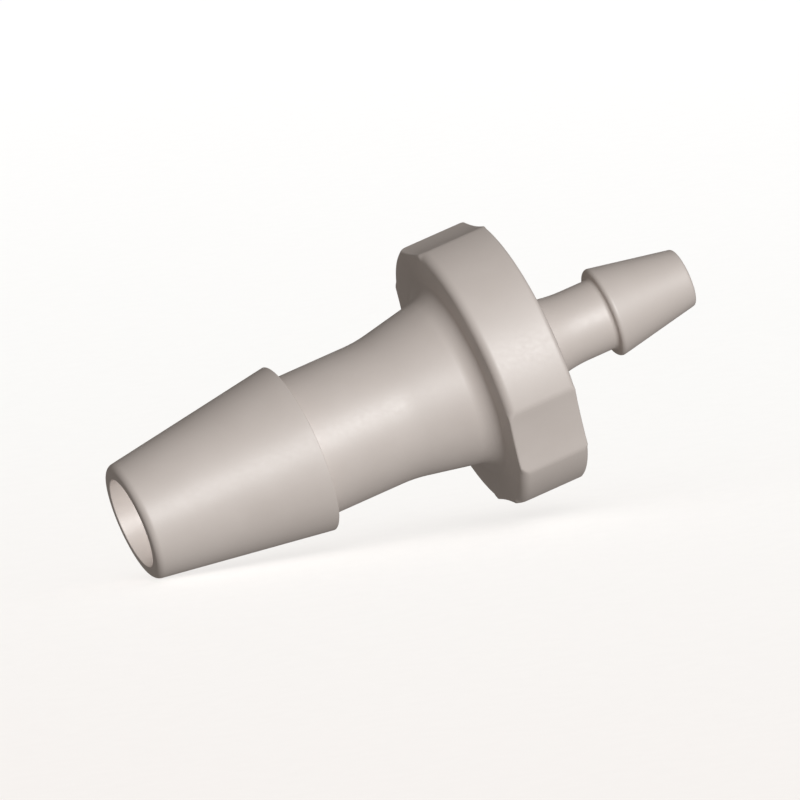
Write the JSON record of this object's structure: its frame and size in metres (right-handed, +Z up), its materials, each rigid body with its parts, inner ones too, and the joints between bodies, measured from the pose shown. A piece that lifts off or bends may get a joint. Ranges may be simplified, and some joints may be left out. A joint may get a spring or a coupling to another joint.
{
  "type": "hose barb reducer",
  "caption": "Straight hose barb reducer: a large barbed spigot and a small barbed spigot on one flow axis, with a scalloped grip flange between them and a stepped bore through both.",
  "frame": {"origin": "bottom centre of the fitting's box, as it lies at rest on a table", "axes": "+Z up; +X is the horizontal direction that runs from the large barb towards the small one. The flow axis lies in the XZ plane, raised about 14 degrees above +X towards the small tip, because the fitting lies on its large barb and its flange"},
  "size_m": [0.028, 0.0126, 0.0134],
  "materials": {
    "moulded_plastic": "satin"
  },
  "bodies": {
    "root": {"reducer_body": "moulded_plastic"}
  },
  "joints": []
}
